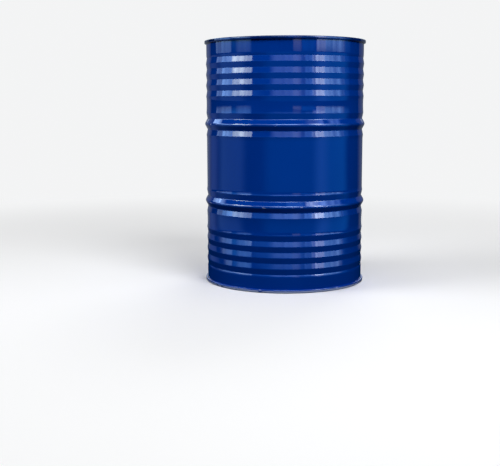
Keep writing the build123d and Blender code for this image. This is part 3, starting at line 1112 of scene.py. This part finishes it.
@dataclass(frozen=True)
class Studio:
    """A plain pale floor, a quiet room with soft windows round it, and the camera.

    The windows are what the gloss sees, and the glows are what it sees of the floor.
    """

    windows: tuple[Window, ...] = (
        Window(-83, -62, 10.5, DAYLIGHT, WEST),
        Window(-62, -49, 6.0, DAYLIGHT, WEST),
        Window(-104, -83, 6.0, SKY, MID_WEST),
        Window(-73, -50, 1.4, SKY, LOW_WEST, 3.0),
        Window(-104, -49, 4.0, (0.05, 0.36, 1.0), WEST_HAZE),
        Window(-118, -104, 4.5, SKY, FAR_WEST),
        Window(-134, -116, 6.5, SKY, HIGH_WEST),
        Window(-49, 30, 2.0, (0.07, 0.32, 1.0), HAZE, 6.0),
        Window(30, 42, 5.2, (0.13, 0.36, 1.0), BLUE_PANE),
        Window(41, 46, 4.6, (0.60, 0.75, 1.0), EAST),
        Window(46, 60, 13.0, FROSTED, EAST),
        Window(46, 60, 2.8, FROSTED, LOW_EAST),
        Window(39, 53, 6.0, (0.48, 0.62, 1.0), HIGH_EAST, 3.0),
        Window(53, 72, 4.2, (0.25, 0.42, 1.0), HIGH_EAST),
        Window(42, 60, 2.2, (0.02, 0.16, 1.0), EAST_HAZE),
        Window(60, 67, 6.5, SKY, FAR_EAST),
        Window(67, 75, 4.4, SKY, FAR_EAST),
        Window(75, 89, 2.5, SKY, FAR_EAST),
        Window(89, 97, 0.7, SKY, FAR_EAST),
        Window(60, 92, 3.4, (0.13, 0.40, 1.0), EAST_HAZE),
        Window(92, 106, 1.4, (0.06, 0.30, 1.0), EAST_HAZE, 4.0),
        Window(72, 94, 1.2, (0.42, 0.52, 0.8), LOW_EAST),
        Window(60, 100, 2.4, (0.15, 0.34, 1.0), HIGH_FAR_EAST, 3.0),
        Window(-18, 22, 2.9, DUSK, MIDDLE, 6.0),
        Window(22, 43, 1.0, DUSK, MIDDLE),
        Window(12, 23, 1.1, (0.66, 0.70, 1.0), LAMP),
        Window(24, 42, 1.7, (0.02, 0.22, 1.0), LOW_EAST),
        Window(5, 36, 2.0, (0.09, 0.33, 1.0), HIGH_MIDDLE, 4.0),
        Window(-46, 44, 4.5, (0.42, 0.62, 1.0), SKYLIGHT, 8.0),
        Window(-17, 22, 8.5, (0.45, 0.64, 1.0), SKYLIGHT, 6.0),
        Window(-190, -138, 0.22, OVERCAST, FAR_ROOM, 3.0),
        Window(136, 190, 0.16, OVERCAST, FAR_ROOM, 3.0),
        Window(155, 190, 3.0, DAYLIGHT, BACK, 4.0),
        Window(-190, -155, 3.0, DAYLIGHT, BACK, 4.0),
        Window(-190, 190, 0.6, (0.95, 0.98, 1.0), OVERHEAD),
    )
    glows: tuple[Window, ...] = (
        Window(-190, -140, 0.22, OVERCAST),
        Window(-136, -112, 0.5, (0.22, 0.36, 1.0)),
        Window(-106, -60, 1.0, (0.14, 0.34, 1.0)),
        Window(-27, 45, 0.9, (0.005, 0.22, 1.0)),
        Window(45, 62, 2.4, (0.05, 0.26, 1.0)),
        Window(62, 98, 1.7, (0.015, 0.26, 1.0)),
        Window(138, 190, 0.16, OVERCAST),
    )
    lamps: tuple[SoftBox, ...] = (
        SoftBox("key_box", 28, 40, 4.2, 2.4, 108.0),
        SoftBox("left_box", -72, 38, 4.2, 2.4, 76.0),
        SoftBox("top_box", 10, 80, 4.2, 3.2, 60.0),
        SoftBox("rear_box", 165, 40, 4.2, 2.4, 60.0),
    )
    pale: Colour = (0.90, 0.905, 0.91, 1)
    gloom: Triple = (0.0, 0.01, 0.04)
    streak_pitch: float = 0.16
    streak_detail: float = 2.0
    streak_least: float = 0.5
    glow_edge: float = 9.0
    glow_reach: Step = (0.7, 1.7)
    bounce: float = 0.05
    bounce_reach: Step = (0.5, 2.2)
    backdrop_reach: Step = (0.9, 3.2)
    floor_radius: float = 14.0
    floor_steps: int = 96
    sensor_width: float = 36.0
    sight: float = 100.0
    distance: float = 3.391
    eye_height: float = 0.659
    focal_length: float = 65.64
    tilt: float = 8.20
    yaw: float = 2.174
    roll: float = -0.125

    def room(self) -> None:
        """Gives the gloss its windows. The camera sees a pale backdrop, and the lamps light the paint."""
        world = bpy.data.worlds.new("room")
        bpy.context.scene.world = world
        world.use_nodes = True
        world.cycles_visibility.diffuse = False
        bench = Bench(world.node_tree)
        spot = bench.spot(bench.node("ShaderNodeTexCoord").outputs["Generated"])
        azimuth = spot.azimuth()
        height = spot.up.angle_from(spot.radius()) * (math.degrees(1) / ZENITH)
        values = {"W": azimuth * self.streak_pitch, "Scale": 1.0, "Detail": self.streak_detail}
        streaks = bench.number("ShaderNodeTexNoise", {"noise_dimensions": "1D"}, values, "Fac")
        streaks = streaks + self.streak_least
        light: Any = self.gloom
        for window in self.windows:
            stops = [(rung / ZENITH, (share, share, share, 1.0)) for rung, share in window.rungs]
            profile = bench.number("ShaderNodeValToRGB", {"stops": stops}, {"Fac": height})
            pane = azimuth.within(window.left, window.right, window.edge)
            light = bench.added(light, window.tint, pane * profile * streaks * window.strength)
        seen = bench.number("ShaderNodeLightPath", {}, {}, "Is Camera Ray")
        colour = bench.blend(seen, light, self.pale)
        background = bench.node("ShaderNodeBackground", {}, {"Color": colour, "Strength": 1.0})
        bench.node("ShaderNodeOutputWorld", {}, {"Surface": background.outputs[0]})

    def hang(self, lamp: SoftBox, middle: Vector) -> None:
        """Hangs one soft lamp round the drum, turned towards its middle.

        Args:
            lamp: the lamp.
            middle: the drum's middle.
        """
        data = bpy.data.lights.new(lamp.name, "AREA")
        data.shape = "DISK"
        data.size = lamp.size
        data.energy = lamp.power
        light = bpy.data.objects.new(lamp.name, data)
        azimuth, elevation = math.radians(lamp.azimuth), math.radians(lamp.elevation)
        away = Vector((math.sin(azimuth), -math.cos(azimuth), math.tan(elevation))).normalized()
        aim = away.to_track_quat("Z", "Y").to_matrix().to_4x4()
        light.matrix_world = Matrix.Translation(middle + away * lamp.distance) @ aim
        light.visible_glossy = False
        light.visible_camera = False
        bpy.context.scene.collection.objects.link(light)

    def floor_finish(self) -> bpy.types.Material:
        """The floor's finish, which fades into the backdrop and is dark in the enamel's reflections.

        Returns:
            The material.
        """
        material, bench = surface_tree("pale_floor")
        spot = bench.spot(bench.place())
        radius, azimuth = spot.radius(), spot.azimuth()
        matt = bench.node("ShaderNodeBsdfDiffuse", {}, {"Color": self.pale}).outputs[0]
        shown = bench.mixed(radius.above(*self.backdrop_reach), matt, bench.emission(self.pale))
        light: Any = self.gloom
        away = radius.above(*self.glow_reach)
        for glow in self.glows:
            share = azimuth.within(glow.left, glow.right, self.glow_edge) * away * glow.strength
            light = bench.added(light, glow.tint, share)
        bounce = bench.emission(self.pale, radius.above(*self.bounce_reach) * self.bounce)
        rays = bench.node("ShaderNodeLightPath").outputs
        unseen = bench.mixed(rays["Is Glossy Ray"], bounce, bench.emission(light))
        surface = bench.mixed(rays["Is Camera Ray"], unseen, shown)
        bench.node("ShaderNodeOutputMaterial", {}, {"Surface": surface})
        material.cycles.emission_sampling = "NONE"
        return material

    def floor(self) -> None:
        """Lays the floor."""
        mesh = bmesh.new()
        bmesh.ops.create_circle(mesh, cap_ends=True, segments=self.floor_steps, radius=self.floor_radius)
        data = bpy.data.meshes.new("floor")
        mesh.to_mesh(data)
        mesh.free()
        data.materials.append(self.floor_finish())
        floor = bpy.data.objects.new("floor", data)
        bpy.context.scene.collection.objects.link(floor)

    def camera(self) -> None:
        """Sets the camera in front of the drum."""
        data = bpy.data.cameras.new("camera")
        data.lens = self.focal_length
        data.sensor_width = self.sensor_width
        data.clip_end = self.sight
        camera = bpy.data.objects.new("camera", data)
        turn = Matrix.Rotation(math.radians(self.yaw), 4, "Z")
        turn = turn @ Matrix.Rotation(math.radians(ZENITH - self.tilt), 4, "X")
        turn = turn @ Matrix.Rotation(math.radians(self.roll), 4, "Z")
        camera.matrix_world = Matrix.Translation((0, -self.distance, self.eye_height)) @ turn
        bpy.context.scene.collection.objects.link(camera)
        bpy.context.scene.camera = camera


def dress_solids(materials: dict[Slot, bpy.types.Material]) -> None:
    """Gives each solid the finish of its slot. Those that a piece stands for are hidden later.

    Args:
        materials: the finish of each slot.
    """
    slots = {part["node"]: Slot(part["material_slot"]) for part in frame["record"]["subparts"]}
    for name, solid in frame["nodes"].items():
        solid.data.materials.clear()
        solid.data.materials.append(materials[slots[name]])
        log.info("%s: %s", name, slots[name].value)


def main() -> None:
    """Builds the drum's pieces, dresses the solids, and sets the studio."""
    logging.basicConfig(level=logging.INFO, format="%(message)s")
    scene = bpy.context.scene
    scene.view_settings.view_transform = "Standard"
    finishes = {Slot.ENAMEL: GlossEnamel(), Slot.ZINC: ZincPlate(), Slot.RUBBER: SealRubber()}
    finishes[Slot.COMPOUND] = SeamCompound()
    materials = {slot: finish.material() for slot, finish in finishes.items()}
    dress_solids(materials)
    seam = Seam()
    height = solid_box[1][2] - solid_box[0][2]
    pieces = {"body_shell": Shell(seam, height), "top_head": TopHead(seam, height)}
    pieces["bottom_head"] = BottomHead(seam, height)
    for node, maker in pieces.items():
        piece = settle(maker.build(), node, materials[Slot.ENAMEL])
        faces = len(piece.data.polygons)
        log.info("%s stands for %s, with %d faces before its thickness", piece.name, node, faces)
    studio = Studio()
    studio.room()
    for lamp in studio.lamps:
        studio.hang(lamp, Vector((0, 0, height / 2)))
    studio.floor()
    studio.camera()


if __name__ == "__main__":
    main()
